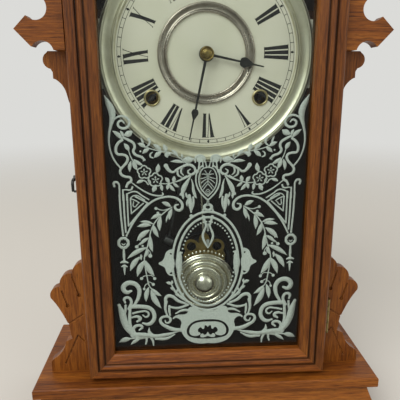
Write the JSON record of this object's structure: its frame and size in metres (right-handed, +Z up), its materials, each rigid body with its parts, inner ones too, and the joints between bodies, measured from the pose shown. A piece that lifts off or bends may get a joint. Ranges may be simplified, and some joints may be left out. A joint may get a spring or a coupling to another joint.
{
  "type": "gingerbread clock",
  "caption": "Gingerbread kitchen clock: sawn walnut case on a moulded base, hinged glazed door with stencilled glass, round dial and hands, spring-driven movement, pendulum and wire gong.",
  "frame": {"origin": "middle of the base on the surface that it stands on", "axes": "+Z up, dial faces -Y, +X to the right as seen from the front"},
  "size_m": [0.299, 0.1112, 0.558],
  "materials": {
    "walnut": "satin varnish",
    "brass": "aged",
    "steel": "satin",
    "nickel": "aged nickel plate",
    "black_iron": "black",
    "dial_paint": "ivory paper and paint, satin",
    "glass": "clear with a silver stencil"
  },
  "bodies": {
    "case": {"base_plate": "walnut", "base_front_moulding": "walnut", "base_side_mouldings": "walnut", "base_back_rail": "walnut", "case_left_side": "walnut", "case_right_side": "walnut", "case_top": "walnut", "back_board": "walnut", "crest_board": "walnut", "crest_cleat": "walnut", "left_corbel": "walnut", "right_corbel": "walnut", "left_foot_bracket": "walnut", "right_foot_bracket": "walnut", "case_hinge_leaves": "brass", "hinge_pins": "brass", "latch_pivot": "black_iron", "dial_cleats": "walnut", "dial_pan": "dial_paint", "dial_bezel": "nickel", "dial_centre_ring": "nickel", "winding_grommets": "brass", "front_plate": "brass", "back_plate": "brass", "movement_screws": "steel", "mainsprings": "steel", "suspension_post": "brass", "gong_coil": "steel", "gong_base": "black_iron"},
    "door": {"door_left_stile": "walnut", "door_right_stile": "walnut", "door_top_rail": "walnut", "door_bottom_rail": "walnut", "door_glass": "glass", "glass_stops": "walnut", "door_hinge_leaves": "brass", "latch_catch": "black_iron"},
    "latch": {"latch_hook": "black_iron"},
    "pendulum": {"pendulum_rod": "steel", "pendulum_bob": "nickel", "rating_nut": "brass"},
    "verge": {"verge": "steel"},
    "minute": {"centre_arbor": "steel", "minute_hand": "black_iron", "hand_nut": "brass"},
    "motion": {"motion_wheel": "brass"},
    "hour": {"hour_wheel": "brass", "hour_hand": "black_iron"},
    "time_third": {"time_third_wheel": "brass"},
    "escape": {"escape_wheel": "brass"},
    "centre": {"centre_wheel": "brass"},
    "time_second": {"time_second_wheel": "brass"},
    "time_main": {"time_main_wheel": "brass"},
    "pin": {"pin_wheel": "brass"},
    "fly": {"strike_fly": "brass"},
    "strike_second": {"strike_second_wheel": "brass"},
    "strike_main": {"strike_main_wheel": "brass"},
    "time_winder": {"time_winding_arbor": "steel"},
    "strike_winder": {"strike_winding_arbor": "steel"},
    "hammer": {"strike_hammer": "steel"}
  },
  "joints": [
    {"name": "door_hinge", "type": "hinge", "parent": "case", "child": "door", "pos_m": [0.098, -0.03315, 0.308], "axis": [0, 0, 1], "range_deg": [0, 100]},
    {"name": "latch_pivot_turn", "type": "hinge", "parent": "case", "child": "latch", "pos_m": [-0.09895, -0.01725, 0.218], "axis": [1, 0, 0], "range_deg": [-30, 40]},
    {"name": "pendulum_swing", "type": "hinge", "parent": "case", "child": "pendulum", "pos_m": [-0.0015, -0.04065, 0.35898], "axis": [0, 1, 0], "range_deg": [-2.5, 2.5]},
    {"name": "verge_rock", "type": "hinge", "parent": "case", "child": "verge", "pos_m": [-0.0015, -0.04065, 0.35898], "axis": [0, 1, 0], "range_deg": [-2.5, 2.5]},
    {"name": "minute_turn", "type": "hinge", "parent": "case", "child": "minute", "pos_m": [0, -0.04065, 0.308], "axis": [0, 1, 0], "continuous": true},
    {"name": "motion_turn", "type": "hinge", "parent": "case", "child": "motion", "pos_m": [0.01061, -0.04065, 0.29739], "axis": [0, 1, 0], "continuous": true},
    {"name": "hour_turn", "type": "hinge", "parent": "case", "child": "hour", "pos_m": [0, -0.04065, 0.308], "axis": [0, 1, 0], "continuous": true},
    {"name": "third_turn", "type": "hinge", "parent": "case", "child": "time_third", "pos_m": [-0.00344, -0.04065, 0.3275], "axis": [0, 1, 0], "continuous": true},
    {"name": "escape_turn", "type": "hinge", "parent": "case", "child": "escape", "pos_m": [-0.0015, -0.04065, 0.34338], "axis": [0, 1, 0], "continuous": true},
    {"name": "centre_turn", "type": "hinge", "parent": "case", "child": "centre", "pos_m": [0, -0.04065, 0.308], "axis": [0, 1, 0], "continuous": true},
    {"name": "second_turn", "type": "hinge", "parent": "case", "child": "time_second", "pos_m": [0.0205, -0.04065, 0.30169], "axis": [0, 1, 0], "continuous": true},
    {"name": "main_turn", "type": "hinge", "parent": "case", "child": "time_main", "pos_m": [0.04025, -0.04065, 0.27715], "axis": [0, 1, 0], "continuous": true},
    {"name": "pin_turn", "type": "hinge", "parent": "case", "child": "pin", "pos_m": [-0.02212, -0.04065, 0.32166], "axis": [0, 1, 0], "continuous": true},
    {"name": "fly_turn", "type": "hinge", "parent": "case", "child": "fly", "pos_m": [-0.02867, -0.04065, 0.33571], "axis": [0, 1, 0], "continuous": true},
    {"name": "strike_second_turn", "type": "hinge", "parent": "case", "child": "strike_second", "pos_m": [-0.03052, -0.04065, 0.30711], "axis": [0, 1, 0], "continuous": true},
    {"name": "strike_main_turn", "type": "hinge", "parent": "case", "child": "strike_main", "pos_m": [-0.04025, -0.04065, 0.27715], "axis": [0, 1, 0], "continuous": true},
    {"name": "time_winding", "type": "hinge", "parent": "case", "child": "time_winder", "pos_m": [0.04025, -0.04065, 0.27715], "axis": [0, 1, 0], "continuous": true},
    {"name": "strike_winding", "type": "hinge", "parent": "case", "child": "strike_winder", "pos_m": [-0.04025, -0.04065, 0.27715], "axis": [0, 1, 0], "continuous": true},
    {"name": "hammer_lift", "type": "hinge", "parent": "case", "child": "hammer", "pos_m": [-0.008, -0.04065, 0.256], "axis": [0, 1, 0], "range_deg": [0, 8]}
  ],
  "couplings": [
    {"joint": "verge_rock", "follows": "pendulum_swing", "ratio": 1},
    {"joint": "motion_turn", "follows": "minute_turn", "ratio": -0.33333},
    {"joint": "hour_turn", "follows": "minute_turn", "ratio": 0.083333},
    {"joint": "escape_turn", "follows": "third_turn", "ratio": -9},
    {"joint": "centre_turn", "follows": "third_turn", "ratio": -0.125},
    {"joint": "second_turn", "follows": "third_turn", "ratio": 0.027778},
    {"joint": "main_turn", "follows": "third_turn", "ratio": -0.0046296},
    {"joint": "fly_turn", "follows": "pin_turn", "ratio": -6.75},
    {"joint": "strike_second_turn", "follows": "pin_turn", "ratio": -0.16667},
    {"joint": "strike_main_turn", "follows": "pin_turn", "ratio": 0.027778}
  ]
}
